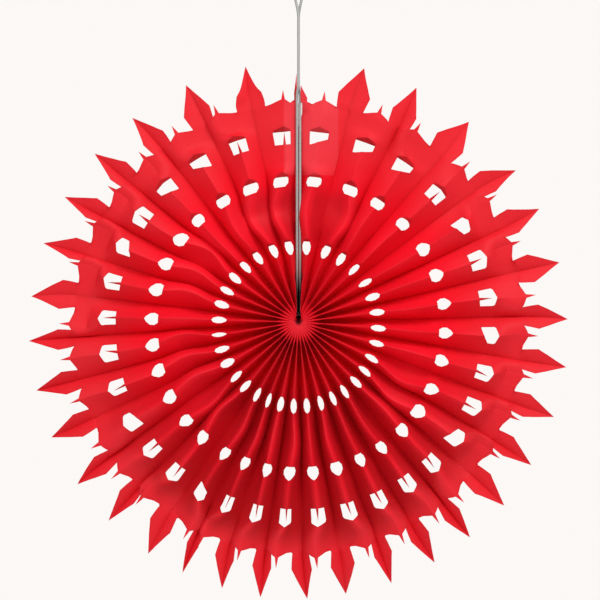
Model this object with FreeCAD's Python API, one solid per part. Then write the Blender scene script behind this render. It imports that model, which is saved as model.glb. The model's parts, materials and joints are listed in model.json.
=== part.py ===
"""Hanging pleated tissue-paper fan, 16 in across, opened to a full disc.

The fan is one long strip of tissue, folded into parallel pleats and gathered at its inner edge by a
thread, so that it opens round the thread into a disc. Its two ends meet at the top and are taped.
A doubled cord is tied to the thread, runs up the valley at the seam and ends in a hanging loop.

Frame, in millimetres: +Z up, +X to the right seen from the front, front facing -Y. The origin is the
point inside the top of the hanging loop, where a hook carries the fan.
"""

import FreeCAD
import Part

import math
import os

Vector = FreeCAD.Vector

# --- driving dimensions ------------------------------------------------------------------------
FAN_DIAMETER = 406.0  # point to opposite point, a 16 in fan
PLEATS = 33  # one pleat is a front ridge with a panel on each side
PANEL_WIDTH = 20.5  # of the folded strip, ridge to valley
PAPER = 0.10  # tissue of several plies
PLEAT_GAP = 0.03  # between neighbouring pleats, each side of a valley crease
DROOP = 5.5  # how far the disc hangs below the hub that carries it
TOP_SPREAD = 0.178  # pleats open wider at the top and crowd at the bottom, by this share
SKEW = 2.1  # degrees: the right half opens a little wider than the left
HANG = 281.0  # from the hook down to the hub
CORD_R = 1.1
CORD_OFFSET = 1.15  # of each strand from the middle of the doubled cord

# --- radii on the disc, measured from the hub before the droop ---------------------------------
TIP_R = FAN_DIAMETER / 2
HUB_R = 2.5  # inner edge of the gathered strip
BARB_R = TIP_R - 22.6  # widest place of a long point
NOTCH_R = TIP_R - 35.0  # bottom of the notch beside a long point
SHOULDER_R = TIP_R - 30.5
SPIKE_R = TIP_R - 23.0  # short spike on each ridge

# --- across a panel, measured on the flat paper from the ridge crease ---------------------------
BARB_S = PANEL_WIDTH - 11.4
NOTCH_S = PANEL_WIDTH - 10.2
SPIKE_S = 1.6
HOLE_S = 8.6  # half width of every hole
TONGUE_S = 2.1

# --- punched holes: each is symmetric about the ridge crease ------------------------------------
INNER_HOLE_R, INNER_HOLE_HALF = 59.8, 6.1
MIDDLE_HOLE = (105.6, 111.5, 116.3)  # foot, eaves and peak of a house shape
OUTER_HOLE = (137.5, 147.0, 148.0, 151.5)  # foot, tip of the tongue, eaves and peak

# --- hub, cord and seam ------------------------------------------------------------------------
THREAD_RING_R, THREAD_R, THREAD_CLEARANCE = 5.2, 0.35, 0.10
PINCH = 0.62  # depth of the pleats at the hub, as a share of their depth further out
CHANNEL_HALF, CHANNEL_BACK, CHANNEL_TOP = 2.6, 1.0, 43.0  # room for the cord in the seam
CHANNEL_PLEATS = 3  # how many pleats each side of the seam the channel can reach
KNOT_R, KNOT_Z = 1.15, 6.6
TWIST_START, TWIST_END = 168.0, 179.0  # the two cords turn from side by side to front and back
TWIST_STEPS, TWIST_ROOM = 5, 1.05
LOOP_START = 229.0
LOOP_BIGHT_R, LOOP_WIDEST, ARCH_STEPS = 4.5, 6.4, 10
CORD_GAP = 0.5  # left at each end of the upper cord, so that it turns and swings freely
PAPER_BEHIND = 0.9  # middle of the paper's depth, behind the middle of the cord
TAPE_HALF_WIDTH, TAPE_THICKNESS, TAPE_LIFT = 5.0, 0.10, 0.30
TAPE_SPANS = ((70.0, 79.0), (86.0, 103.0), (124.0, 141.0))

# Panels are straight between these radii, which is how a twisted panel is faceted.
STATIONS = (HUB_R, 14.0, 45.0, 82.0, 105.0, 122.0, 145.0, NOTCH_R, TIP_R + DROOP + 1)


def opened_angle(share):
    """Degrees clockwise from the seam, seen from the front, at a share from 0 to 1 of the strip."""
    even = 360.0 * share
    angle = even
    for _ in range(40):
        turn = math.radians(angle)
        angle = even + math.degrees(TOP_SPREAD) * math.sin(turn) + SKEW * (1 - math.cos(turn))
    return angle


def half_pitch(degrees):
    """Half the angle of a pleat in radians, at an angle on the disc."""
    turn = math.radians(degrees)
    crowding = 1 - TOP_SPREAD * math.cos(turn) - math.radians(SKEW) * math.sin(turn)
    return math.pi / PLEATS / crowding


def droop(degrees):
    return -DROOP * math.cos(math.radians(degrees))


def depth(radius, degrees):
    """Front-to-back depth of the pleats: the panel width is fixed, so they flatten as they spread."""
    spread = min(radius, NOTCH_R) * half_pitch(degrees)
    full = math.sqrt(PANEL_WIDTH**2 - min(spread, PANEL_WIDTH * 0.985) ** 2)
    return full * (PINCH if radius <= HUB_R else 1.0)


def straight_depth(radius, degrees):
    """Depth of the faceted panels, which run straight from one station to the next."""
    for low, high in zip(STATIONS, STATIONS[1:]):
        if radius <= high:
            share = (radius - low) / (high - low)
            return depth(low, degrees) * (1 - share) + depth(high, degrees) * share
    return depth(STATIONS[-1], degrees)


class Pleat:
    """One pleat, in its own frame: the ridge runs up +Z from the hub and the front is -Y."""

    def __init__(self, number):
        self.left = opened_angle((number - 1) / PLEATS)
        self.right = opened_angle(number / PLEATS)
        self.middle = (self.left + self.right) / 2
        self.half = math.radians(self.right - self.left) / 2

    def valley(self, radius, side):
        """Offset of the valley from the ridge, across the pleat, and its angle on the disc."""
        angle = self.right if side > 0 else self.left
        return radius * math.tan(self.half) - PLEAT_GAP / math.cos(self.half), angle

    def section(self, radius):
        """Closed outline of the folded paper across the ridge at one radius."""
        front = -depth(radius, self.middle) / 2
        flat = PAPER / 2
        points = []
        for side in (1, -1):
            across, angle = self.valley(radius, side)
            back = depth(radius, angle) / 2
            rise = back - front
            length = math.hypot(across, rise)
            mitre = flat * length / across
            cap = flat * (length - rise) / across
            outer = [(side * flat, front - cap), (side * across, back - mitre)]
            end = [(side * across, back + cap), (side * (across - flat), back + cap)]
            crotch = [(0.0, front + mitre)]
            points += outer + end + crotch if side > 0 else list(reversed(outer + end))
        return Part.makePolygon([Vector(x, y, radius) for x, y in points + points[:1]])

    def place(self, radius, across):
        """A point of the cut pattern, seen from the front. Across is measured on the flat paper."""
        side = 1 if across > 0 else -1
        share = abs(across) / PANEL_WIDTH
        offset, angle = self.valley(min(radius, NOTCH_R), side)
        sag = droop(self.middle) * (1 - share) + droop(angle) * share
        return Vector(side * share * offset, 0, radius + sag)

    def place_on_point(self, radius, across):
        """A point of a long point's edge: past the notch it keeps its distance from the valley."""
        side = 1 if across > 0 else -1
        spread = self.valley(radius, side)[0] - self.valley(NOTCH_R, side)[0]
        return self.place(radius, across) + Vector(side * spread, 0, 0)

    def edge(self, side):
        """The die-cut outer edge of one panel, from the valley to the ridge."""
        tip = self.place_on_point(TIP_R, side * PANEL_WIDTH)
        return [
            tip + Vector(side, 0, 0),
            tip,
            self.place_on_point(BARB_R, side * BARB_S),
            self.place(NOTCH_R, side * NOTCH_S),
            self.place(SHOULDER_R, side * SPIKE_S),
            self.place(SPIKE_R, 0.0),
        ]

    def outline(self):
        """The cut outline: half a long point at each valley and a short spike on the ridge."""
        wide = TIP_R * math.tan(self.half) + 5
        right = [Vector(HUB_R, 0, 0), Vector(wide, 0, TIP_R / 2)] + self.edge(1)
        left = self.edge(-1)[-2::-1] + [Vector(-wide, 0, TIP_R / 2), Vector(-HUB_R, 0, 0)]
        return Part.makePolygon(right + left + right[:1])

    def holes(self):
        """Outlines of the three holes punched across the ridge crease."""
        arch = []
        for step in range(12):
            turn = math.tau * step / 12
            radius = INNER_HOLE_R + INNER_HOLE_HALF * math.cos(turn)
            arch.append(self.place(radius, HOLE_S * math.sin(turn)))
        foot, eaves, peak = MIDDLE_HOLE
        house = [self.place(peak, 0)]
        house += [self.place(eaves, HOLE_S), self.place(foot, HOLE_S * 0.75)]
        house += [self.place(foot, -HOLE_S * 0.75), self.place(eaves, -HOLE_S)]
        foot, tongue, eaves, peak = OUTER_HOLE
        window = [self.place(peak, 0), self.place(eaves, HOLE_S), self.place(foot, HOLE_S)]
        window += [self.place(foot, TONGUE_S), self.place(tongue, 0), self.place(foot, -TONGUE_S)]
        window += [self.place(foot, -HOLE_S), self.place(eaves, -HOLE_S)]
        return [Part.makePolygon(shape + shape[:1]) for shape in (arch, house, window)]

    def solid(self):
        """The folded and cut pleat, turned to its place on the disc."""
        paper = Part.makeLoft([self.section(radius) for radius in STATIONS], True, True)
        paper = paper.common(through(self.outline()))
        for hole in self.holes():
            paper = paper.cut(through(hole))
        paper = paper.cut(thread_ring(THREAD_R + THREAD_CLEARANCE))
        paper.rotate(Vector(0, 0, 0), Vector(0, 1, 0), self.middle)
        return paper


def through(outline):
    """A prism that runs right through the fan, front to back."""
    outline.translate(Vector(0, -PANEL_WIDTH, 0))
    return Part.Face(outline).extrude(Vector(0, 2 * PANEL_WIDTH, 0))


def thread_ring(wire_r):
    return Part.makeTorus(THREAD_RING_R, wire_r, Vector(0, 0, 0), Vector(0, 1, 0))


def cord_channel():
    """The slot that the cord and its knot press open between the two end pleats."""
    length = CHANNEL_BACK + PANEL_WIDTH
    return Part.makeBox(2 * CHANNEL_HALF, length, CHANNEL_TOP, Vector(-CHANNEL_HALF, -PANEL_WIDTH, 0))


def bent_cord(points):
    """Round cord through a row of points, with a ball at each bend."""
    pieces = [Part.makeSphere(CORD_R, point) for point in points[1:-1]]
    for low, high in zip(points, points[1:]):
        along = high - low
        pieces.append(Part.makeCylinder(CORD_R, along.Length, low, along))
    return pieces[0].fuse(pieces[1:])


def lower_cord(side):
    bottom = Vector(side * CORD_OFFSET, 0, KNOT_Z + 2 * KNOT_R)
    length = TWIST_START - CORD_GAP - bottom.z
    return Part.makeCylinder(CORD_R, length, bottom, Vector(0, 0, 1))


def upper_cord(side):
    """One strand above the rim: a quarter turn, then straight up to the foot of the loop."""
    points = []
    for step in range(TWIST_STEPS + 1):
        share = step / TWIST_STEPS
        turn = math.pi / 2 * share
        across = Vector(math.cos(turn), math.sin(turn), 0) * side * CORD_OFFSET * TWIST_ROOM
        points.append(across + Vector(0, 0, TWIST_START + (TWIST_END - TWIST_START) * share))
    points.append(Vector(points[-1].x, points[-1].y, LOOP_START - CORD_GAP))
    return bent_cord(points)


def hanging_loop():
    """The doubled end of the cord, spread open into a loop over the hook."""
    foot = LOOP_START + CORD_GAP
    bend = LOOP_BIGHT_R + CORD_R
    centre = HANG - LOOP_BIGHT_R
    leg = [
        Vector(0.0, -CORD_OFFSET, foot),
        Vector(0.0, -CORD_OFFSET, foot + 3),
        Vector(-LOOP_WIDEST / 2, -CORD_OFFSET / 2, foot + 17),
        Vector(-LOOP_WIDEST, 0, centre - 12),
    ]
    arch = []
    for step in range(ARCH_STEPS + 1):
        turn = math.pi * step / ARCH_STEPS
        arch.append(Vector(-bend * math.cos(turn), 0, centre + bend * math.sin(turn)))
    other_leg = [Vector(-p.x, -p.y, p.z) for p in reversed(leg)]
    return bent_cord(leg + arch + other_leg)


def hub_knot():
    """The tie between the cord and the gathering thread: two wraps under the cord's ends."""
    wraps = []
    for level in (-0.55, 0.55):
        centre = Vector(0, 0, KNOT_Z + level * KNOT_R)
        wraps.append(Part.makeTorus(KNOT_R, KNOT_R * 0.62, centre, Vector(0, 0.2, 1)))
    core = Part.makeCylinder(KNOT_R, 2.6 * KNOT_R, Vector(0, 0, KNOT_Z - 1.3 * KNOT_R))
    return core.fuse(wraps).removeSplitter()


def seam_tapes():
    """Strips of tape that bridge the two ends of the paper, on the back of the seam."""
    strips = []
    for span in TAPE_SPANS:
        outlines = []
        for radius in span:
            across = radius * half_pitch(0)
            rise = straight_depth(radius, 0)
            slope = rise / across
            stretch = math.hypot(across, rise) / across
            crest = rise / 2 + (PAPER / 2 + TAPE_LIFT) * stretch
            lift = TAPE_THICKNESS * stretch
            half = TAPE_HALF_WIDTH
            inner = [(-half, crest - half * slope), (0.0, crest), (half, crest - half * slope)]
            outer = [(x, y + lift) for x, y in reversed(inner)]
            ring = inner + outer + inner[:1]
            outlines.append(Part.makePolygon([Vector(x, y, radius) for x, y in ring]))
        strips.append(Part.makeLoft(outlines, True, True))
    return Part.makeCompound(strips)


def paper_nodes():
    """The pleats, the thread through them and the tape on their seam, centred on the hub."""
    nodes = {}
    channel = cord_channel()
    for number in range(1, PLEATS + 1):
        paper = Pleat(number).solid()
        if min(number, PLEATS + 1 - number) <= CHANNEL_PLEATS:
            paper = paper.cut(channel)
        nodes[f"pleat_{number:02d}"] = paper
    nodes["gather_thread"] = thread_ring(THREAD_R)
    nodes["seam_tapes"] = seam_tapes()
    return nodes


def cord_nodes():
    """The doubled cord, from the knot on the hub's thread up to the loop."""
    return {
        "hub_knot": hub_knot(),
        "cord_lower_left": lower_cord(-1),
        "cord_lower_right": lower_cord(1),
        "cord_upper_front": upper_cord(-1),
        "cord_upper_back": upper_cord(1),
        "hanging_loop": hanging_loop(),
    }


def main():
    os.makedirs("parts", exist_ok=True)
    paper = paper_nodes()
    for shape in paper.values():
        shape.translate(Vector(0, PAPER_BEHIND, 0))
    cord = cord_nodes()
    tunnel = thread_ring(THREAD_R + THREAD_CLEARANCE)
    tunnel.translate(Vector(0, PAPER_BEHIND, 0))
    cord["hub_knot"] = cord["hub_knot"].cut(tunnel)
    for name, shape in {**paper, **cord}.items():
        shape.translate(Vector(0, 0, -HANG))
        shape.exportStep(f"parts/{name}.step")
        print(name, len(shape.Solids), round(shape.Volume, 1), shape.isValid())


main()
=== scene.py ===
"""Looks of the hanging pleated tissue-paper fan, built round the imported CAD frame.

Lengths inside the geometry code are in millimetres from the hub, with x to the right, y to the back
and z up. place() turns them into the frame's metres. An angle on the disc is clockwise from the seam
at the top, seen from the front.
"""

import json
import math

import bpy
import numpy as np
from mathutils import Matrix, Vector
from mathutils.geometry import delaunay_2d_cdt


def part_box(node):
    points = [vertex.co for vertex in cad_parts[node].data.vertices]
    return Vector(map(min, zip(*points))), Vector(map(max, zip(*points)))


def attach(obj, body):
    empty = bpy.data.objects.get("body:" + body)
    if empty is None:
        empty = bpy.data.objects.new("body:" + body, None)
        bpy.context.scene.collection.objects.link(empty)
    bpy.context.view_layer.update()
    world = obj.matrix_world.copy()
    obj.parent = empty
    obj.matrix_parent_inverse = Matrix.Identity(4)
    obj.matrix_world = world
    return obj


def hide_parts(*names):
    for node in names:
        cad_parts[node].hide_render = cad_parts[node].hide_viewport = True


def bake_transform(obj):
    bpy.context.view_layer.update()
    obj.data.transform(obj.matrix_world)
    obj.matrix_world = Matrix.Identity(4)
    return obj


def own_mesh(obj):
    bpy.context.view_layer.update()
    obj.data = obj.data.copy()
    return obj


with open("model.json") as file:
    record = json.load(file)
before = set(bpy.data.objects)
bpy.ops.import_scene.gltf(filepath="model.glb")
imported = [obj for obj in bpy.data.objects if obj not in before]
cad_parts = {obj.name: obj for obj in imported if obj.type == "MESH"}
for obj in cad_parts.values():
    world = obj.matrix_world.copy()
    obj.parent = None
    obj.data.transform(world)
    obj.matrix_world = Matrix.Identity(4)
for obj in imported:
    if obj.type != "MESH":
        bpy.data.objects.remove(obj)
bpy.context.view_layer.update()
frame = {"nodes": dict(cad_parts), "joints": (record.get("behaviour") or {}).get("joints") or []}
MM = 0.001

# --- taken from the frame ------------------------------------------------------------------------
JOINTS = {joint["name"]: joint for joint in frame["joints"]}
PLEAT_NODES = sorted(name for name in frame["nodes"] if name.startswith("pleat_"))
PLEATS = len(PLEAT_NODES)
HUB = np.array(JOINTS["fold_01"]["pos_m"])
PLEAT_BOXES = [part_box(name) for name in PLEAT_NODES]
DISC_LEFT = min(low.x for low, _ in PLEAT_BOXES) / MM
DISC_RIGHT = max(high.x for _, high in PLEAT_BOXES) / MM
BOTTOM_LOW, BOTTOM_HIGH = PLEAT_BOXES[PLEATS // 2]
TIP_R = (DISC_RIGHT - DISC_LEFT) / 2 - 0.3
PAPER_Y = (BOTTOM_LOW.y + BOTTOM_HIGH.y) / 2 / MM
RIM_Z = (JOINTS["fan_turn"]["pos_m"][2] - HUB[2]) / MM
FORK_Z = (JOINTS["cord_swing"]["pos_m"][2] - HUB[2]) / MM
HOOK_Z = -HUB[2] / MM
LAST = PLEATS - 1

# --- the strip, on the flat paper ----------------------------------------------------------------
# A flat place is (across, radius): millimetres from the pleat's ridge, and from the hub along it.
# Outlines are the right half of a shape, which is mirrored about the ridge.
PANEL = 20.5  # from a ridge to the next valley
PAPER_FROM_R = 0.6
NOTCH_R = TIP_R - 34.4  # where a long point parts from the edge beside it
NOTCH_AT = PANEL - 10.4
LONG_POINT = ((PANEL, TIP_R), (PANEL - 4.3, TIP_R - 7.5), (PANEL - 9.0, TIP_R - 15.0),
              (PANEL - 12.9, TIP_R - 22.2), (NOTCH_AT, NOTCH_R))
SPIKE = ((1.5, TIP_R - 30.5), (0.0, TIP_R - 23.0))
INNER_HOLE = ((0, 53.9), (3.9, 54.6), (8.0, 57.6), (8.2, 61.0), (5.0, 64.2), (0, 65.4))
MIDDLE_HOLE = ((0, 105.4), (5.4, 105.6), (8.2, 108.4), (7.9, 111.6), (3.6, 114.6), (0, 115.7))
OUTER_HOLE = ((0, 146.6), (1.5, 137.2), (8.2, 137.4), (8.7, 146.8), (7.6, 148.2), (0, 150.6))
# For each hole, the level its top folds back to, its top, and how far the fold lies behind.
HOLE_CAPS = ((64.0, 65.4, 1.5), (112.8, 115.7, 3.0), (147.2, 150.6, 5.0))
HOLE_REACH = 8.9
WINDOW_HALF = 8.2
TONGUE_FOOT, TONGUE_TIP, TONGUE_HALF = 137.2, 146.6, 1.7
SHEET = 0.12  # thickness
OUTLINE_STEP, HOLE_STEP = 2.6, 1.3  # between the points along a cut edge
PLIES = 0.16  # what the gathered plies add to a crease near the hub
ON_CUT, BESIDE_CUT = 0.05, 0.75  # nearer than this to a cut edge

# --- how the disc opened -------------------------------------------------------------------------
TOP_SPREAD = 10.2  # degrees by which the pleats gape at the top and crowd at the bottom
SKEW = 2.1  # degrees by which they crowd to one side
RING_DROOP, RIM_DROOP = 3.4, 3.0  # sag at the inner ring and, beyond that, at the rim
PINCH, PINCH_R = 0.62, 16  # share of their depth that the pleats keep at the hub, and its reach
FLAT_PANEL = 0.985  # share of its width that a panel can spread to
# Where the pleats are pushed together: pleats from the seam, degrees clockwise, and reach in pleats.
PUSHED = ((3.2, 1.2, 1.7), (11.5, 0.4, 3.0), (20.2, -2.0, 1.6), (26.0, 1.5, 2.1), (31.3, 1.0, 1.2))
# Degrees by which each ridge's outer end leans over, clockwise.
RIDGE_LEAN = (0.5, 0.7, -2.6, -0.3, -2.2, -1.3, 0.6, -0.9, -1.8, -2.1, -2.3, 1, -1.2, -1.3, -1.8, 1.3, 1.7,
              1.8, 2.8, -1.8, 2.8, 0.9, -1, 0.4, 0.3, -1.9, 2.5, 2.5, 1.7, 1.2, -1.2, -2.6, 0.5)
# Degrees by which each ridge sways between the inner and middle rings of holes, clockwise.
RIDGE_SWAY = (-2.7, 4.7, -1, -0.7, 0.3, -0.4, 0.4, 0.2, -0.4, 3.9, 3.3, -1, 1, 0.3, 1.3, 0.2, -1.5,
              0.2, -1, -1.8, 3, -2.5, 3, 3.3, 3.7, 0.4, 3.5, 3.7, 5, -0.5, -2.7, -6.2, -6.2)

# Millimetres by which the tip of each window's tongue leans, clockwise.
TONGUE_LEAN = (6, 6, 4.5, 0.3, 4.5, -1, 0.3, 7, 2.5, 0.5, -7, 2, 0, -1.5, -1.5, 0, 0,
               -1.5, 1.5, -7, 0, 0, 7, -2, 3, -1, -1.5, 6, 0.5, -6, -6, 0, 0)

# --- cord, tape and the seam's overlap -----------------------------------------------------------
STRAND_R = 1.08
STRAND_LAY = 4.6  # length of one turn of the twist
STRAND_OFFSET = 1.15
CORD_STEP = 0.45  # between the points along a strand
TWIST_FROM_Z, TWIST_TO_Z = RIM_Z - 16, FORK_Z - 12  # where the cord bends when the fan turns
HOOK_GAP_R = 4.5  # of the opening at the top of the loop
TAPE_SPANS = ((70, 79), (86, 103), (124, 141))
TAPE_REACH = (5.0, 3.4, 1.8, 0.6, 0.0)  # from the seam
TAPE_INNER, TAPE_OUTER = 0.16, 0.26  # from the middle of the paper
TAPE_ROWS = 6
LAP_MIDDLE, LAP_HALF = (9.5, 146.0), (20.5, 35.5)  # to the right of the hub, and above it


def smooth(value, low, high):
    """Rises from 0 at low to 1 at high without a corner."""
    share = np.clip((value - low) / (high - low), 0.0, 1.0)
    return share * share * (3 - 2 * share)


def place(points):
    """Millimetres from the hub to the frame's metres."""
    return points * MM + HUB


def even_angle(share):
    """Degrees at which a share of the strip lies once the disc has opened."""
    angle = 360.0 * share
    for _ in range(40):
        turn = math.radians(angle)
        angle = 360.0 * share + TOP_SPREAD * math.sin(turn) + SKEW * (1 - math.cos(turn))
    return angle


def pushed_by(number):
    """Degrees by which a valley lies off its even place. The two at the seam stay where they are."""
    if number in (0, PLEATS):
        return 0.0
    return sum(push * math.exp(-(((number - at) / reach) ** 2)) for at, push, reach in PUSHED)


VALLEYS = [math.radians(even_angle(v / PLEATS) + pushed_by(v)) for v in range(PLEATS + 1)]
BODY_MIDDLES = [
    math.radians(even_angle(k / PLEATS) + even_angle((k + 1) / PLEATS)) / 2 for k in range(PLEATS)
]
AT_SEAM = (0, LAST)

dice = np.random.default_rng(7)
TIP_LEAN = dice.normal(0, 0.010, PLEATS + 1)
TIP_CURL = dice.normal(0, 3.0, PLEATS + 1)
TIP_FOLD = dice.uniform(0.86, 0.98, PLEATS + 1)
BOW = dice.normal(0, 0.55, (PLEATS, 2, 3))
SPIKE_CURL = dice.normal(0, 2.0, PLEATS)
WAVE = dice.uniform(0, math.tau, 6)
# Four tips near the seam are curled over, and the one left of it is folded nearly shut.
for tip, lean in ((1, 0.017), (2, -0.011), (4, 0.028), (32, 0.013)):
    TIP_LEAN[tip] = lean
TIP_FOLD[32] = 0.58


def pinch(radius):
    return PINCH + (1 - PINCH) * smooth(radius, 0, PINCH_R)


def seam_side(index, across):
    """True on the panel that ends at the seam."""
    return across < 0 if index == 0 else across > 0


class Pleat:
    """Where the paper of one pleat lies."""

    def __init__(self, index):
        self.index = index
        self.left, self.right = VALLEYS[index], VALLEYS[index + 1]
        self.ridge = (self.left + self.right) / 2
        self.half = (self.right - self.left) / 2

    def spread(self, radius, half):
        """Half the width between two creases."""
        return np.minimum(np.minimum(radius, NOTCH_R) * half, PANEL * FLAT_PANEL)

    def valley_half(self, side):
        """Half the pitch at a valley, as a mean of its two pleats, so that both agree on its depth."""
        values = []
        for step in (-1, 1):
            other = (self.index + step) % PLEATS
            values.append((self.half + (VALLEYS[other + 1] - VALLEYS[other]) / 2) / 2)
        return np.where(side > 0, values[1], values[0])

    def valley_depth(self, radius, side):
        """Millimetres by which a valley lies behind the middle of the paper."""
        spread = self.spread(radius, self.valley_half(side))
        return np.sqrt(PANEL**2 - spread**2) * pinch(radius) / 2

    def flat_band(self, radius):
        """Beside the seam the paper lies nearly flat between the middle holes and the rim."""
        if self.index not in AT_SEAM:
            return 0 * radius
        return smooth(radius, 112, 124)

    def ridge_turn(self, radius):
        """Radians clockwise by which the ridge is pushed off the middle of the pleat at a radius."""
        sway = RIDGE_SWAY[self.index] * np.exp(-(((radius - 86.0) / 17.0) ** 2))
        lean = RIDGE_LEAN[self.index] * smooth(radius, 146.0, 163.0)
        lean = lean * (1.15 - 0.15 * smooth(radius, 164, 180))
        flat = {0: -0.8, LAST: 1.9}.get(self.index, 0) * self.flat_band(radius)
        return np.radians(sway + lean + flat)

    def ridge_depth(self, radius):
        """Millimetres by which the ridge lies before the middle of the paper, less when it is pushed."""
        spread = self.spread(radius, self.half)
        straight = np.sqrt(PANEL**2 - spread**2)
        pushed = np.minimum(spread + np.abs(self.ridge_turn(radius)) * radius, PANEL * 0.97)
        bent = np.sqrt(PANEL**2 - pushed**2)
        return (bent - straight / 2) * pinch(radius)

    def creases(self, radius, side, at_seam):
        """How far behind the middle of the paper the valley and the ridge beside each place lie."""
        band = self.flat_band(radius)
        back, front = self.valley_depth(radius, side), -self.ridge_depth(radius)
        front = front + (-1.5 - front) * band
        back = np.where(at_seam, back + (1.3 - back) * band, back)
        return back, front

    def slackness(self, radius, side, chord, at_seam):
        """How far a panel bows: the length it has to spare, and some of its own."""
        slack = np.sqrt(np.maximum(0, 0.375 * chord * (PANEL - chord))) * 0.55
        if self.index in AT_SEAM:
            slack = np.where(at_seam, slack * smooth(radius, 12, 34), slack)
        lazy = BOW[self.index, ((side + 1) / 2).astype(int)]
        waves = np.sin(radius / 31.0), np.sin(radius / 17.0 + side)
        drift = lazy[:, 0] + lazy[:, 1] * waves[0] + lazy[:, 2] * waves[1]
        return slack + drift * smooth(radius, 25, 90)

    def paper(self, across, radius, dent=0.0):
        """Points in millimetres from the hub, in the middle of the paper's thickness."""
        side = np.where(across < 0, -1.0, 1.0)
        share = np.abs(across) / PANEL
        valley_at = np.where(side > 0, self.index + 1, self.index)
        on_point = (radius > NOTCH_R) & (np.abs(across) > NOTCH_AT - 1e-6 - 0.3 * (radius - NOTCH_R))
        out = np.clip((radius - NOTCH_R) / (TIP_R - NOTCH_R), 0, 1)

        valley_angle = np.where(side > 0, self.right, self.left)
        reach = self.ridge + self.ridge_turn(radius) - valley_angle
        notch_reach = self.ridge + self.ridge_turn(np.float64(NOTCH_R)) * 0.4 - valley_angle
        fold = 1 + (TIP_FOLD[valley_at] - 1) * smooth(out, 0, 0.6)
        tip_reach = notch_reach * NOTCH_R / np.maximum(radius, 1) * fold
        reach = np.where(on_point, tip_reach, reach)
        angle = valley_angle + reach * (1 - share) + TIP_LEAN[valley_at] * out**1.5 * on_point

        at_seam = seam_side(self.index, side)
        back, front = self.creases(radius, side, at_seam)
        depth = back + (front - back) * (1 - share)
        depth = depth + TIP_CURL[valley_at] * out**2 * on_point
        depth = depth + SPIKE_CURL[self.index] * smooth(radius, 160, 185) * ~on_point

        across_arc, rise = radius * reach, back - front
        chord = np.hypot(across_arc, rise)
        bow = self.slackness(radius, side, chord, at_seam) * 4 * share * (1 - share)
        bow = bow * (1 - out * on_point) * (1 - 0.9 * self.flat_band(radius))
        angle = angle + side * bow * rise / chord / np.maximum(radius, 1)
        depth = depth - bow * np.abs(across_arc) / chord

        depth = depth + dent + sway_of_disc(angle, radius)
        sag = RING_DROOP * smooth(radius, 0, 55) + RIM_DROOP * smooth(radius, 140, TIP_R)
        reach_out = radius - sag * np.cos(angle)
        points = np.stack([reach_out * np.sin(angle), depth, reach_out * np.cos(angle)], axis=-1)
        if self.index in AT_SEAM:
            points = self.seam(points, across, radius)
        return make_way_for_cord(points, 1 if self.index < PLEATS / 2 else -1)

    def seam(self, points, across, radius):
        """The half points at the seam: the left one stays behind the cord, the right one before it."""
        at_seam = seam_side(self.index, across)
        on_tip = at_seam & (radius > NOTCH_R) & (np.abs(across) > 6)
        out = smooth(radius, NOTCH_R, NOTCH_R + 5) * on_tip
        beyond = np.maximum(radius - NOTCH_R, 0) * on_tip
        if self.index == 0:
            edge = smooth(np.abs(across) / PANEL, 0.4, 0.9) * at_seam
            points[:, 0] += 2.7 * edge * smooth(radius, 150, 162) * (1 - out)
            points[:, 0] += (1.6 - 0.55 * points[:, 0]) * out
            points[:, 2] -= 0.55 * beyond
            points[:, 1] -= 4.6 * edge * smooth(radius, 161, 168) + 0.1 * beyond
        else:
            points[:, 0] += (-1.1 - 0.75 * points[:, 0]) * out
            points[:, 2] -= 0.25 * beyond
            points[:, 1] += 2.0 * out
        return points


def sway_of_disc(angle, radius):
    """The open disc isn't quite flat: slow waves run round it, growing towards the rim."""
    waves = np.zeros_like(angle)
    for count, amount in ((1, 0.5), (2, 0.7), (3, 0.7), (5, 0.5), (8, 0.4)):
        waves = waves + amount * np.sin(count * angle + WAVE[count % 6])
    return waves * (radius / TIP_R) ** 2


def make_way_for_cord(points, side):
    """The cord and its knot press the end pleats apart. Their ridges close over it near the hub."""
    x, y, z = points[:, 0] * side, points[:, 1], points[:, 2]
    above = smooth(z, -1.0, 2.0) * (1 - smooth(z, 26.0, 44.0))
    x = x + (np.maximum(x, 0) - x) * above
    behind = 10.2 * pinch(z)
    in_front = 1 - smooth(y / behind, 0.55, 0.98)
    clear_of_cord = x + 2.2 * np.exp(-np.abs(x) / 4.2) * above * in_front
    lips = smooth(-y, 1.8, 4.5) * smooth(z, 2.0, 8.0) * (1 - smooth(z, 26.0, 40.0))
    closing = np.clip(clear_of_cord - 1.3, 0, 3.0) * lips * np.exp(-np.abs(x) / 6.0)
    points[:, 0] = side * (clear_of_cord - closing)
    return points


def shifted_tongue(index, across, radius, on_cut):
    """Leans a window's tongue. One that leans far carries the paper below it across the window."""
    lean = TONGUE_LEAN[index]
    foot, tip = TONGUE_FOOT, TONGUE_TIP
    along = np.clip((radius - foot) / (tip - foot), 0, 1)
    on_tongue = (np.abs(across) < TONGUE_HALF) & (radius > foot - 0.1) & (radius < tip + 0.1)
    if abs(lean) < 4:
        return np.where(on_tongue, across + lean * along, across), radius
    slope = np.clip((across * np.sign(lean) + WINDOW_HALF) / (2 * WINDOW_HALF), 0, 1)
    line = foot + 5.2 * slope**1.3
    fade = 1 - smooth(np.abs(across), WINDOW_HALF + 0.4, WINDOW_HALF + 4)
    below = radius + (line - foot) * smooth(radius, foot - 9, foot) * fade
    on_window = on_cut & (radius > foot - 0.5) & (np.abs(across) < WINDOW_HALF + 0.6)
    carried = np.where(radius < foot - 0.5, below, radius)
    carried = np.where(on_window, np.maximum(radius, line), carried)
    carried = np.where(on_tongue, line + 0.1 * along, carried)
    return across, carried


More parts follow.
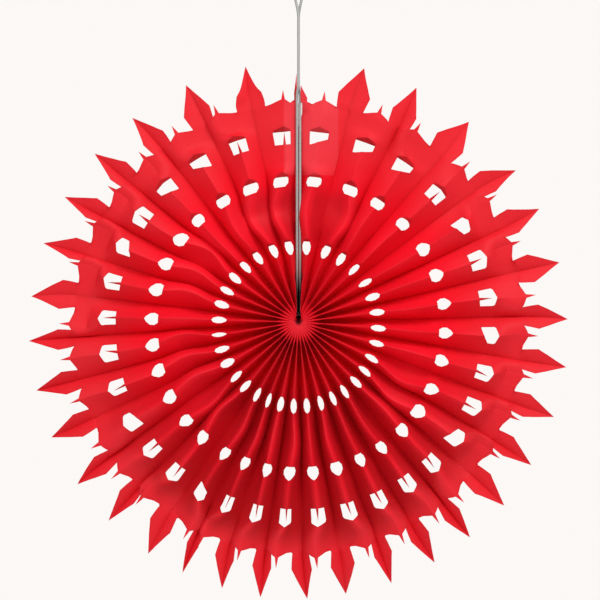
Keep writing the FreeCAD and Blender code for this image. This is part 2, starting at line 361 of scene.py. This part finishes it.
def capped_holes(index, across, radius, to_cut):
    """Above the hub the paper's weight folds the top of each hole back, which leaves it a level top."""
    weight = float(smooth(math.cos(BODY_MIDDLES[index]), 0.45, 0.85))
    dent, lid = np.zeros_like(radius), np.zeros_like(radius)
    lowered = radius.copy()
    for level, top, reach in HOLE_CAPS:
        above = weight * (radius > level) * (radius < top + 0.8) * (np.abs(across) < HOLE_REACH)
        # The lid, the strip over each bent-back top, is marked for painted shade.
        lid = np.maximum(lid, above * (to_cut < BESIDE_CUT))
        share = above * (to_cut < ON_CUT)
        dent += share * reach * (radius - level) / (top - level)
        lowered -= (radius - level) * share
    return lowered, dent, lid


# --- the flat cut pattern of one pleat -----------------------------------------------------------
def both_sides(half):
    """A closed outline that is symmetric about the ridge, from its right half, foot to top."""
    return list(half) + [(-x, r) for x, r in reversed(half) if abs(x) > 1e-9]


def resampled(outline, step):
    """The outline with points added so that no edge is longer than step."""
    points = []
    for (x0, r0), (x1, r1) in zip(outline, outline[1:] + outline[:1]):
        pieces = max(1, int(math.ceil(math.hypot(x1 - x0, r1 - r0) / step)))
        for piece in range(pieces):
            share = piece / pieces
            points.append((x0 + (x1 - x0) * share, r0 + (r1 - r0) * share))
    return points


def inside(points, outline):
    """True for points inside a closed outline, by counting crossings."""
    x, r = points[:, 0], points[:, 1]
    result = np.zeros(len(points), bool)
    for (x0, r0), (x1, r1) in zip(outline, outline[1:] + outline[:1]):
        if r0 == r1:
            continue
        crosses = (r0 > r) != (r1 > r)
        result ^= crosses & (x < (x1 - x0) * (r - r0) / (r1 - r0) + x0)
    return result


def distance_to(points, outline):
    """Shortest distance from each point to a closed outline."""
    best = np.full(len(points), 1e9)
    for a, b in zip(outline, outline[1:] + outline[:1]):
        a, b = np.array(a), np.array(b)
        along = b - a
        share = np.clip(((points - a) @ along) / max(along @ along, 1e-12), 0, 1)
        best = np.minimum(best, np.linalg.norm(points - a - share[:, None] * along, axis=1))
    return best


def radius_of(point):
    return point[1]


def in_paper(points, outline, holes, clearance=0.0):
    """True for points on the paper, at least clearance away from its edges."""
    kept = inside(points, outline) & (distance_to(points, outline) >= clearance)
    for hole in holes:
        kept &= ~inside(points, hole) & (distance_to(points, hole) >= clearance)
    return kept


def inner_places(outline, holes):
    """Places between the edges: rows and columns, and two closer rows over the top of each hole."""
    columns = [0.0, 0.4, 1.1, 2.6, 4.6, 6.7, 8.8, 11.0, 13.2, 15.4, 17.4, 19.0, 20.0]
    columns = sorted({-c for c in columns} | set(columns))
    rows = np.arange(PAPER_FROM_R + 2.4, TIP_R, 2.9)
    tops = []
    for hole in holes:
        top = max(hole, key=radius_of)[1]
        tops += [(c, r) for c, r in resampled(hole, HOLE_STEP) if r > top - 4.6]
    lips = [(c, r + step) for c, r in tops for step in (0.6, 1.3)]
    grid = [(c, r) for r in rows for c in columns]
    grid = [point for point in grid if min(math.dist(point, lip) for lip in lips) > 0.9]
    grid = np.array(grid + lips)
    return grid[in_paper(grid, outline, holes, clearance=0.45)]


def without_strays(flat, triangles):
    """Drops unused points and empty triangles, and turns the other triangles the same way."""
    used = np.unique(triangles)
    renumber = np.full(len(flat), -1)
    renumber[used] = np.arange(len(used))
    flat, triangles = flat[used], renumber[triangles]
    a, b, c = flat[triangles[:, 0]], flat[triangles[:, 1]], flat[triangles[:, 2]]
    area = (b[:, 0] - a[:, 0]) * (c[:, 1] - a[:, 1]) - (b[:, 1] - a[:, 1]) * (c[:, 0] - a[:, 0])
    triangles = triangles[np.abs(area) > 1e-5]
    area = area[np.abs(area) > 1e-5]
    triangles[area < 0] = triangles[area < 0][:, ::-1]
    return flat, triangles


def distance_to_cut(flat, outline, holes):
    """How far each place is from a cut edge. The valley where the next pleat joins isn't one."""
    to_cut = distance_to(flat, outline)
    near_valley = (PANEL - np.abs(flat[:, 0]) < 1.0) & (flat[:, 1] < TIP_R - 2)
    to_cut[near_valley] = 9.0
    for hole in holes:
        to_cut = np.minimum(to_cut, distance_to(flat, hole))
    return to_cut


def cut_pattern():
    """One pleat's flat paper: its points, its triangles, and each point's distance to a cut edge."""
    edge = [(0.0, PAPER_FROM_R), (PANEL, PAPER_FROM_R)] + list(LONG_POINT) + list(SPIKE)
    outline = both_sides(edge)
    holes = [both_sides(half) for half in (INNER_HOLE, MIDDLE_HOLE, OUTER_HOLE)]
    points, edges = [], []
    for loop in [resampled(outline, OUTLINE_STEP)] + [resampled(hole, HOLE_STEP) for hole in holes]:
        start, count = len(points), len(loop)
        edges += [(start + i, start + (i + 1) % count) for i in range(count)]
        points += [Vector(p) for p in loop]
    on_ridge = []
    for across, radius in inner_places(outline, holes):
        if across == 0.0:
            on_ridge.append(len(points))
        points.append(Vector((float(across), float(radius))))
    on_ridge.sort(key=lambda i: points[i].y)
    for a, b in zip(on_ridge, on_ridge[1:]):
        if points[b].y - points[a].y < 4.5:
            edges.append((a, b))
    made = delaunay_2d_cdt(points, edges, [], 0, 1e-5)
    flat = np.array([tuple(p) for p in made[0]])
    triangles = np.array([tuple(face) for face in made[2] if len(face) == 3])
    triangles = triangles[in_paper(flat[triangles].mean(axis=1), outline, holes)]
    flat, triangles = without_strays(flat, triangles)
    return flat, triangles, distance_to_cut(flat, outline, holes)


def border(triangles):
    """Edges that only one triangle uses, each in that triangle's direction."""
    sides = np.concatenate([triangles[:, [0, 1]], triangles[:, [1, 2]], triangles[:, [2, 0]]])
    low, high = sides.min(axis=1), sides.max(axis=1)
    _, first, count = np.unique(low * (high.max() + 1) + high, return_index=True, return_counts=True)
    return sides[first[count == 1]]


def mesh_object(name, points, faces, material, smooth_faces=True):
    mesh = bpy.data.meshes.new(name)
    mesh.from_pydata([tuple(p) for p in points], [], [tuple(int(i) for i in face) for face in faces])
    mesh.polygons.foreach_set("use_smooth", [smooth_faces] * len(mesh.polygons))
    mesh.materials.append(material)
    piece = bpy.data.objects.new(name, mesh)
    bpy.context.scene.collection.objects.link(piece)
    return piece


def add_attribute(piece, name, kind, values):
    layer = piece.data.attributes.new(name, kind, "POINT")
    key = "vector" if kind == "FLOAT_VECTOR" else "value"
    layer.data.foreach_set(key, np.asarray(values, np.float32).ravel())


def normals_of(points, triangles):
    a, b, c = (points[triangles[:, i]] for i in range(3))
    facing = np.cross(b - a, c - a)
    total = np.zeros_like(points)
    for corner in range(3):
        np.add.at(total, triangles[:, corner], facing)
    return total / np.maximum(np.linalg.norm(total, axis=1, keepdims=True), 1e-12)


def on_crease(distance):
    """One on a crease, and next to nothing from 2 mm beside it."""
    return np.exp(-((distance / 0.9) ** 2))


def pleat_piece(index, pattern, material):
    """One pleat: its sheet with a front, a back and cut edges."""
    flat, triangles, to_cut = pattern
    across, radius = flat[:, 0], flat[:, 1]
    moved, carried = shifted_tongue(index, across, radius, to_cut < ON_CUT)
    carried, dent, lid = capped_holes(index, moved, carried, to_cut)
    middle = Pleat(index).paper(moved, carried, dent)
    middle[:, 1] += PAPER_Y
    normal = normals_of(middle, triangles)
    if normal[:, 1].mean() > 0:
        triangles = triangles[:, ::-1]
        normal = -normal
    ridge, valley = on_crease(across), on_crease(PANEL - np.abs(across))
    plies = PLIES * np.exp(-((radius / 42.0) ** 2)) * smooth(radius, 3, 12)
    half_sheet = SHEET / 2 * np.minimum(1, 0.15 + radius / 4)
    front = middle + normal * (half_sheet + plies * ridge)[:, None]
    rear = middle - normal * (half_sheet + plies * valley)[:, None]
    count = len(middle)
    edges = border(triangles)
    walls = np.stack([edges[:, 1], edges[:, 0], edges[:, 0] + count, edges[:, 1] + count], axis=1)
    faces = list(triangles) + list(triangles[:, ::-1] + count) + list(walls)
    piece = mesh_object(f"paper_{index + 1:02d}", place(np.concatenate([front, rear])), faces, material)
    mark_sharp(piece, across, edges, count)
    paint_pleat(piece, index, flat, to_cut, lid)
    if index in AT_SEAM:
        add_attribute(piece, "rest", "FLOAT_VECTOR", np.tile(middle, (2, 1)))
    return piece


def paint_pleat(piece, index, flat, to_cut, lid):
    """What the tissue's material reads: where painted sheen, painted highlight and painted shade go, and
    where the paper is cut.
    """
    across, radius = flat[:, 0], flat[:, 1]
    ridge, valley = on_crease(across), on_crease(PANEL - np.abs(across))
    strip = across + index * 2 * PANEL
    add_attribute(piece, "flat", "FLOAT_VECTOR", np.tile(np.stack([strip, radius, 0 * strip], 1), (2, 1)))
    # Where the painted sheen goes: the outer part of the disc.
    add_attribute(piece, "outer", "FLOAT", np.tile(smooth(radius, 105, 150), 2))
    downward = -math.cos(BODY_MIDDLES[index])
    # Painted highlight along the ridge crests, partly the creases' wear: stronger towards the bottom, where
    # the crests catch the light, and fading towards the rim.
    crest = ridge * (0.75 + 0.4 * downward) * (1 - 0.75 * smooth(radius, 75, 115))
    add_attribute(piece, "crease", "FLOAT", np.tile(crest, 2))
    # Painted shade: dark lines along the valleys, the lids over the holes' tops, the windows' tongues, the
    # wells between the lower pleats and the hollows beside the top ones.
    on_tongue = (np.abs(across) < TONGUE_HALF) & (radius > TONGUE_FOOT + 1) & (radius < TONGUE_TIP + 0.1)
    well = smooth(radius, 40, 70) * (1 - smooth(radius, 150, 175)) * smooth(np.abs(across), 1.5, 7)
    shade = np.maximum(np.maximum(0.3 * valley, lid), 0.7 * on_tongue)
    shade = np.maximum(shade, 0.9 * well * smooth(downward, 0.2, 0.95))
    hollow = smooth(radius, 58, 72) * (1 - smooth(radius, 96, 112)) * smooth(np.abs(across), 1.5, 8)
    shade = np.maximum(shade, 0.6 * hollow * smooth(-downward, 0.8, 0.98))
    add_attribute(piece, "shade", "FLOAT", np.tile(shade, 2))
    add_attribute(piece, "cut", "FLOAT", np.tile(np.exp(-to_cut / 0.8), 2))
    # Painted shade: a dark spot at the very middle of the hub, on the front only.
    hub_shade = 1 - smooth(radius, 1.0, 2.4)
    add_attribute(piece, "hub_shade", "FLOAT", np.concatenate([hub_shade, 0 * hub_shade]))
    if index in AT_SEAM:
        # Painted shade on the front of the panels that line the cord's slot, fading out above the hub.
        slot = smooth(np.abs(across) / PANEL, 0.15, 0.45) * (1 - smooth(radius, 26, 42))
        slot = slot * seam_side(index, across)
        add_attribute(piece, "slot", "FLOAT", np.concatenate([slot, 0 * slot]))


def mark_sharp(piece, across, border_edges, count):
    """Folds and cut edges are shaded sharp. The rest of the sheet is shaded smooth."""
    mesh = piece.data
    mesh.set_sharp_from_angle(angle=math.radians(34))
    layer = mesh.attributes.get("sharp_edge") or mesh.attributes.new("sharp_edge", "BOOLEAN", "EDGE")
    sharp = np.zeros(len(mesh.edges), bool)
    layer.data.foreach_get("value", sharp)
    pairs = np.zeros(len(mesh.edges) * 2, np.int64)
    mesh.edges.foreach_get("vertices", pairs)
    pairs = pairs.reshape(-1, 2)
    on_ridge = np.tile(np.abs(across) < 1e-6, 2)
    sharp |= on_ridge[pairs[:, 0]] & on_ridge[pairs[:, 1]]
    at_border = np.zeros(2 * count, bool)
    at_border[border_edges.ravel()] = True
    at_border[border_edges.ravel() + count] = True
    sharp |= at_border[pairs[:, 0]] & at_border[pairs[:, 1]]
    layer.data.foreach_set("value", sharp)


# --- cord ----------------------------------------------------------------------------------------
def strand(name, path, radius, lay, material, sides=18, plies=3):
    """Twisted cord along a path of points in millimetres from the hub."""
    path = np.array(path, float)
    tangent = np.gradient(path, axis=0)
    tangent /= np.linalg.norm(tangent, axis=1, keepdims=True)
    length = np.concatenate([[0], np.cumsum(np.linalg.norm(np.diff(path, axis=0), axis=1))])
    side = np.cross(tangent[0], (0.0, 1.0, 0.0))
    if np.linalg.norm(side) < 1e-3:
        side = np.cross(tangent[0], (1.0, 0.0, 0.0))
    rings = []
    centre, ply = 0.46 * radius, 0.54 * radius
    for point, along, travelled in zip(path, tangent, length):
        side = side - along * (side @ along)
        side = side / np.linalg.norm(side)
        other = np.cross(along, side)
        turn = np.arange(sides) * math.tau / sides
        phase = turn - travelled / lay * math.tau
        off = (phase + math.pi / plies) % (math.tau / plies) - math.pi / plies
        reach = centre * np.cos(off) + np.sqrt(np.maximum(ply**2 - (centre * np.sin(off)) ** 2, 0))
        rings.append(point + reach[:, None] * (np.cos(turn)[:, None] * side + np.sin(turn)[:, None] * other))
    points = np.concatenate(rings + [path[:1], path[-1:]])
    faces = []
    for row in range(len(path) - 1):
        for i in range(sides):
            j = (i + 1) % sides
            faces.append((row * sides + i, row * sides + j, (row + 1) * sides + j, (row + 1) * sides + i))
    first, last = len(points) - 2, len(points) - 1
    top = (len(path) - 1) * sides
    faces += [(first, (i + 1) % sides, i) for i in range(sides)]
    faces += [(last, top + i, top + (i + 1) % sides) for i in range(sides)]
    return mesh_object(name, place(points), faces, material)


def cord_centre(side, z):
    """Where one strand runs between the knot and the foot of the loop."""
    turn = math.pi / 2 * smooth(z, RIM_Z, RIM_Z + 11)
    return (side * STRAND_OFFSET * math.cos(turn), side * STRAND_OFFSET * math.sin(turn), z)


def cord_pieces(material):
    """The cord in lengths, so that it twists at the rim and bends at the foot of the loop."""
    made = []
    knot_top = (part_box("hub_knot")[1].z - HUB[2]) / MM
    spans = (("lower", knot_top - 0.8, TWIST_FROM_Z), ("twist", TWIST_FROM_Z, TWIST_TO_Z))
    for side, word in ((-1, "left"), (1, "right")):
        for part, low, high in spans:
            heights = np.linspace(low, high, int((high - low) / CORD_STEP) + 2)
            path = [cord_centre(side, z) for z in heights]
            piece = strand(f"{part}_strand_{word}", path, STRAND_R, STRAND_LAY, material)
            z_of = np.array([vertex.co.z - HUB[2] for vertex in piece.data.vertices]) / MM
            # Painted shade where the cord runs down into the slot, growing from 42 mm to 20 mm above the
            # hub.
            add_attribute(piece, "slot", "FLOAT", 1 - smooth(z_of, 20, 42))
            made.append(piece)
    return made


def loop_path():
    """The doubled end above the fork, opening into a loop with its top round the hook."""
    low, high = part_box("hanging_loop")
    wide = (high.x - low.x) / 2 / MM - STRAND_R
    bight = HOOK_GAP_R + STRAND_R
    centre = HOOK_Z + high.z / MM - STRAND_R - bight
    points = []
    for z in np.arange(TWIST_TO_Z, centre, CORD_STEP):
        share = smooth(z, FORK_Z - 2, centre - 12)
        close = smooth(z, centre - 12, centre)
        x = wide * share + (bight - wide) * close
        y = STRAND_OFFSET * (1 - smooth(z, FORK_Z, FORK_Z + 24))
        points.append((x, y, z))
    arch = []
    for turn in np.arange(0, math.pi, CORD_STEP / bight):
        arch.append((bight * math.cos(turn), 0.0, centre + bight * math.sin(turn)))
    back = [(-x, -y, z) for x, y, z in reversed(points)]
    return points + arch + back


# --- materials -----------------------------------------------------------------------------------
def new_material(name):
    material = bpy.data.materials.new(name)
    material.use_nodes = True
    nodes = material.node_tree.nodes
    return material, nodes, material.node_tree.links, nodes["Principled BSDF"]


def ramp(nodes, links, source, stops):
    node = nodes.new("ShaderNodeValToRGB")
    links.new(source, node.inputs["Fac"])
    while len(node.color_ramp.elements) < len(stops):
        node.color_ramp.elements.new(0.5)
    for element, (position, colour) in zip(node.color_ramp.elements, stops):
        element.position = position
        element.color = (*colour, 1.0)
    return node.outputs["Color"]


def noise(nodes, links, vector, scale, detail=3.0, roughness=0.55):
    node = nodes.new("ShaderNodeTexNoise")
    links.new(vector, node.inputs["Vector"])
    node.inputs["Scale"].default_value = scale
    node.inputs["Detail"].default_value = detail
    node.inputs["Roughness"].default_value = roughness
    return node.outputs["Fac"]


def plug(links, value, socket):
    """Feeds a socket from another socket, or with a colour or a number."""
    if isinstance(value, bpy.types.NodeSocket):
        links.new(value, socket)
    elif isinstance(value, tuple):
        socket.default_value = (*value, 1.0)
    else:
        socket.default_value = value


def mix_colour(nodes, links, share, first, second, mode="MIX"):
    node = nodes.new("ShaderNodeMix")
    node.data_type = "RGBA"
    node.blend_type = mode
    for name, value in (("Factor", share), ("A", first), ("B", second)):
        plug(links, value, node.inputs[name])
    return node.outputs["Result"]


def attribute(nodes, name, output):
    node = nodes.new("ShaderNodeAttribute")
    node.attribute_name = name
    return node.outputs[output]


def worked_out(nodes, links, operation, *values):
    node = nodes.new("ShaderNodeMath")
    node.operation = operation
    for socket, value in zip(node.inputs, values):
        plug(links, value, socket)
    return node.outputs["Value"]


def scaled(nodes, links, value, factor):
    return worked_out(nodes, links, "MULTIPLY", value, factor)


def stretched(nodes, links, vector, scale):
    node = nodes.new("ShaderNodeMapping")
    links.new(vector, node.inputs["Vector"])
    node.inputs["Scale"].default_value = scale
    return node.outputs["Vector"]


def bumped(nodes, links, shader, height, strength, distance):
    node = nodes.new("ShaderNodeBump")
    links.new(height, node.inputs["Height"])
    node.inputs["Strength"].default_value = strength
    node.inputs["Distance"].default_value = distance
    links.new(node.outputs["Normal"], shader.inputs["Normal"])


def laid_over(nodes, links, rest):
    """One inside the patch beside the seam where the two ends of the paper lie one over the other."""
    parts = nodes.new("ShaderNodeSeparateXYZ")
    links.new(rest, parts.inputs[0])
    across = worked_out(nodes, links, "COMPARE", parts.outputs["X"], LAP_MIDDLE[0], LAP_HALF[0])
    up = worked_out(nodes, links, "COMPARE", parts.outputs["Z"], LAP_MIDDLE[1], LAP_HALF[1])
    return scaled(nodes, links, across, up)


def painted_slot_shade(nodes, links):
    """Where shade is painted: one in the narrow slot where the cord runs into the hub, as long as the slot
    is closed in.
    """
    occlusion = nodes.new("ShaderNodeAmbientOcclusion")
    occlusion.samples = 6
    occlusion.inputs["Distance"].default_value = 0.012
    closed = ramp(nodes, links, occlusion.outputs["AO"], ((0.30, (1, 1, 1)), (0.70, (0, 0, 0))))
    return scaled(nodes, links, closed, attribute(nodes, "slot", "Fac"))


def tissue_material(name, beside_cord=False):
    """Thin red tissue: cloudy fibres, darker cut edges, light through the sheet, painted sheen on the outer
    part, painted highlights on the crests, partly their wear, and painted shade.
    """
    material, nodes, links, shader = new_material(name)
    flat = attribute(nodes, "flat", "Vector")
    cloud = noise(nodes, links, stretched(nodes, links, flat, (0.035, 0.02, 1)), 1.0, 4.0)
    fibre = noise(nodes, links, stretched(nodes, links, flat, (0.55, 1.5, 1)), 1.0, 5.0, 0.7)
    colour = ramp(nodes, links, cloud, ((0.25, (0.90, 0.002, 0.018)), (0.75, (0.97, 0.004, 0.028))))
    flecks = ramp(nodes, links, fibre, ((0.30, (0.94, 0.94, 0.94)), (0.70, (1.0, 1.0, 1.0))))
    colour = mix_colour(nodes, links, 1.0, colour, flecks, "MULTIPLY")
    # Painted sheen: the outer part is mixed towards a paler, pinker red, as light on its flatter panels.
    painted_sheen = scaled(nodes, links, attribute(nodes, "outer", "Fac"), 0.6)
    colour = mix_colour(nodes, links, painted_sheen, colour, (0.80, 0.022, 0.034))
    # Painted highlight along the crests, partly their wear: a paler, pinker red.
    crest_highlight_and_wear = scaled(nodes, links, attribute(nodes, "crease", "Fac"), 0.5)
    colour = mix_colour(nodes, links, crest_highlight_and_wear, colour, (0.95, 0.06, 0.09))
    # Painted shade: mixed towards a dark red where the shade attribute says.
    painted_shade = scaled(nodes, links, attribute(nodes, "shade", "Fac"), 0.75)
    colour = mix_colour(nodes, links, painted_shade, colour, (0.54, 0.0, 0.004))
    if beside_cord:
        lap = laid_over(nodes, links, attribute(nodes, "rest", "Vector"))
        colour = mix_colour(nodes, links, scaled(nodes, links, lap, 0.5), colour, (0.84, 0.065, 0.090))
        # Painted shade: near black in the slot beside the cord.
        colour = mix_colour(nodes, links, painted_slot_shade(nodes, links), colour, (0.012, 0.0, 0.0))
    # Painted shade: near black at the middle of the hub.
    colour = mix_colour(nodes, links, attribute(nodes, "hub_shade", "Fac"), colour, (0.012, 0.0, 0.0))
    cut = scaled(nodes, links, attribute(nodes, "cut", "Fac"), 0.25)
    colour = mix_colour(nodes, links, cut, colour, (0.62, 0.004, 0.012))
    links.new(colour, shader.inputs["Base Color"])
    rough = ramp(nodes, links, fibre, ((0.2, (0.58, 0.58, 0.58)), (0.8, (0.72, 0.72, 0.72))))
    links.new(rough, shader.inputs["Roughness"])
    shader.inputs["Specular IOR Level"].default_value = 0.38
    crumple = noise(nodes, links, stretched(nodes, links, flat, (0.10, 0.06, 1)), 1.0, 2.0, 0.4)
    bumped(nodes, links, shader, crumple, 0.5, 0.0012)
    through = nodes.new("ShaderNodeBsdfTranslucent")
    links.new(colour, through.inputs["Color"])
    blend = nodes.new("ShaderNodeMixShader")
    blend.inputs["Fac"].default_value = 0.42
    links.new(shader.outputs["BSDF"], blend.inputs[1])
    links.new(through.outputs["BSDF"], blend.inputs[2])
    links.new(blend.outputs["Shader"], nodes["Material Output"].inputs["Surface"])
    return material


def cord_material():
    """Satin silver-grey twisted cord."""
    material, nodes, links, shader = new_material("silver_cord")
    place_of = nodes.new("ShaderNodeTexCoord").outputs["Object"]
    yarn = noise(nodes, links, stretched(nodes, links, place_of, (9000, 9000, 1600)), 1.0, 3.0)
    colour = ramp(nodes, links, yarn, ((0.25, (0.20, 0.20, 0.195)), (0.75, (0.46, 0.46, 0.445))))
    # Painted shade: the cord turns near black where it is closed in by the slot.
    colour = mix_colour(nodes, links, painted_slot_shade(nodes, links), colour, (0.012, 0.010, 0.010))
    links.new(colour, shader.inputs["Base Color"])
    shader.inputs["Metallic"].default_value = 0.3
    rough = ramp(nodes, links, yarn, ((0.2, (0.30, 0.30, 0.30)), (0.8, (0.48, 0.48, 0.48))))
    links.new(rough, shader.inputs["Roughness"])
    bumped(nodes, links, shader, yarn, 0.3, 0.0001)
    return material


def plain_material(name, dark, light, scale, roughness, bump=0.2):
    material, nodes, links, shader = new_material(name)
    place_of = nodes.new("ShaderNodeTexCoord").outputs["Object"]
    grain = noise(nodes, links, place_of, scale)
    links.new(ramp(nodes, links, grain, ((0.3, dark), (0.7, light))), shader.inputs["Base Color"])
    shader.inputs["Roughness"].default_value = roughness
    bumped(nodes, links, shader, grain, bump, 0.0002)
    return material


# --- pieces --------------------------------------------------------------------------------------
def build_paper():
    pattern = cut_pattern()
    material, seam_material = tissue_material("red_tissue"), tissue_material("seam_tissue", True)
    for index, node in enumerate(PLEAT_NODES):
        piece = pleat_piece(index, pattern, seam_material if index in AT_SEAM else material)
        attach(piece, node)
        squash_with_pleat(piece)
        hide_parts(node)


def build_cord():
    material = cord_material()
    for piece in cord_pieces(material):
        left = "left" in piece.name
        if "lower" in piece.name:
            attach(piece, "hub")
            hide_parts("cord_lower_left" if left else "cord_lower_right")
        else:
            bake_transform(piece)
            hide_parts("cord_upper_front" if left else "cord_upper_back")
    loop = strand("loop_strand", loop_path(), STRAND_R, STRAND_LAY, material)
    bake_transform(loop)
    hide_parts("hanging_loop")
    build_knot(material)


def build_knot(material):
    """Wraps that tie the cord's ends to the thread."""
    low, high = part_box("hub_knot")
    middle = ((low.z + high.z) / 2 - HUB[2]) / MM
    wraps, wrap_r, pitch = 2.6, 1.15, 0.55
    coil = []
    for turn in np.linspace(0, wraps * math.tau, 90):
        climb = pitch * (turn / math.tau - wraps / 2)
        coil.append((wrap_r * math.cos(turn), wrap_r * math.sin(turn), middle + climb))
    knot = strand("knot_wraps", coil, 0.62, 3.0, material, sides=12)
    tail = strand("knot_tail", [(0, y, 0) for y in np.linspace(1.0, 5.0, 12)], 0.75, 3.0, material, sides=12)
    for piece in (knot, tail):
        # The knot and its tail are painted dark as shade wherever they are closed in.
        add_attribute(piece, "slot", "FLOAT", np.ones(len(piece.data.vertices)))
        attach(piece, "hub")
        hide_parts("hub_knot")


def build_thread():
    """The thread that gathers every panel, in a ring inside the paper."""
    low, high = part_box("gather_thread")
    thread_r = (high.y - low.y) / 2 / MM
    ring_r = (high.x - low.x) / 2 / MM - thread_r
    middle_y = (high.y + low.y) / 2 / MM
    turns = np.linspace(0, math.tau, 120)
    path = [(ring_r * math.sin(t), middle_y, ring_r * math.cos(t)) for t in turns]
    material = plain_material("cotton_thread", (0.55, 0.50, 0.46), (0.80, 0.77, 0.73), 4000, 0.85)
    thread = strand("thread_ring", path, thread_r, 1.6, material, sides=10, plies=2)
    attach(thread, "hub")
    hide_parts("gather_thread")


def tape_strip(low, high):
    """Points and faces of one strip of tape that lies over the back of the seam."""
    rows = np.linspace(low, high, TAPE_ROWS)
    left, right = Pleat(LAST), Pleat(0)
    columns = [left.paper(np.full(TAPE_ROWS, PANEL - reach), rows) for reach in TAPE_REACH]
    columns += [right.paper(np.full(TAPE_ROWS, reach - PANEL), rows) for reach in TAPE_REACH[-2::-1]]
    sheet = np.stack(columns, axis=1)
    along = np.gradient(sheet, axis=0)
    over = np.gradient(sheet, axis=1)
    normal = np.cross(over, along)
    normal /= np.linalg.norm(normal, axis=2, keepdims=True)
    normal *= np.where(normal[..., 1:2].mean() > 0, 1, -1)
    inner, outer = sheet + normal * TAPE_INNER, sheet + normal * TAPE_OUTER
    tall, wide = sheet.shape[:2]
    points = np.concatenate([inner.reshape(-1, 3), outer.reshape(-1, 3)])
    points[:, 1] += PAPER_Y
    faces = []
    count = tall * wide
    rim = [(0, j) for j in range(wide)] + [(i, wide - 1) for i in range(1, tall)]
    rim += [(tall - 1, j) for j in range(wide - 2, -1, -1)] + [(i, 0) for i in range(tall - 2, 0, -1)]
    for i in range(tall - 1):
        for j in range(wide - 1):
            a, b, c, d = i * wide + j, i * wide + j + 1, (i + 1) * wide + j + 1, (i + 1) * wide + j
            faces += [(a, b, c, d), (d + count, c + count, b + count, a + count)]
    for (i, j), (k, l) in zip(rim, rim[1:] + rim[:1]):
        a, b = i * wide + j, k * wide + l
        faces.append((b, a, a + count, b + count))
    return points, faces


def build_tapes():
    material = plain_material("seam_tape", (0.72, 0.17, 0.16), (0.80, 0.24, 0.22), 300, 0.3)
    points, faces, start = [], [], 0
    for low, high in TAPE_SPANS:
        strip_points, strip_faces = tape_strip(low, high)
        faces += [tuple(i + start for i in face) for face in strip_faces]
        points.append(strip_points)
        start += len(strip_points)
    piece = mesh_object("seam_tape_strips", place(np.concatenate(points)), faces, material)
    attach(piece, PLEAT_NODES[0])
    squash_with_pleat(piece)
    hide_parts("seam_tapes")


def squash_with_pleat(piece):
    """Gives a piece its own copy of its mesh."""
    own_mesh(piece)


def build_stage():
    """A plain pale floor well below the fan."""
    far, floor_z = 3.0, HUB[2] - 0.66
    corners = [(-far, -far, floor_z), (far, -far, floor_z), (far, far, floor_z), (-far, far, floor_z)]
    pale = plain_material("pale_floor", (0.80, 0.79, 0.78), (0.84, 0.83, 0.82), 3, 0.8, 0.0)
    shader = pale.node_tree.nodes["Principled BSDF"]
    shader.inputs["Emission Color"].default_value = (1.0, 0.98, 0.97, 1)
    shader.inputs["Emission Strength"].default_value = 0.3
    floor = mesh_object("floor", np.array(corners), [(0, 1, 2, 3)], pale, False)


def area_light(name, place_at, target, size, power):
    data = bpy.data.lights.new(name, "AREA")
    data.shape = "SQUARE"
    data.size = size
    data.energy = power
    lamp = bpy.data.objects.new(name, data)
    lamp.location = place_at
    lamp.rotation_mode = "QUATERNION"
    lamp.rotation_quaternion = (Vector(target) - Vector(place_at)).to_track_quat("-Z", "Y")
    bpy.context.scene.collection.objects.link(lamp)


def build_light():
    above_hub = (HUB[0], HUB[1], HUB[2] + 0.05)
    area_light("key", (0.5, -0.80, HUB[2] + 0.88), above_hub, 0.5, 9.5)
    area_light("fill", (-0.45, -0.95, HUB[2] + 0.75), above_hub, 0.7, 4.5)
    world = bpy.data.worlds.new("studio")
    world.use_nodes = True
    nodes, links = world.node_tree.nodes, world.node_tree.links
    seen = nodes.new("ShaderNodeLightPath").outputs["Is Camera Ray"]
    ambient, backdrop = (0.62, 0.62, 0.62), (0.97, 0.94, 0.92)
    links.new(mix_colour(nodes, links, seen, ambient, backdrop), nodes["Background"].inputs["Color"])
    bpy.context.scene.world = world
    bpy.context.scene.view_settings.view_transform = "Standard"


def build_camera():
    """Square-on from the front, a little above the hub, wide enough for the disc and part of the cord."""
    distance, sensor, seen_width = 1.7, 36.0, 0.4512
    right, up = 0.0011, 0.0165
    data = bpy.data.cameras.new("camera")
    data.sensor_width = sensor
    data.lens = sensor * distance / seen_width
    camera = bpy.data.objects.new("camera", data)
    camera.location = (HUB[0] + right, HUB[1] - distance, HUB[2] + up)
    camera.rotation_euler = (math.pi / 2, 0, 0)
    bpy.context.scene.collection.objects.link(camera)
    bpy.context.scene.camera = camera


build_paper()
build_cord()
build_thread()
build_tapes()
build_stage()
build_light()
build_camera()
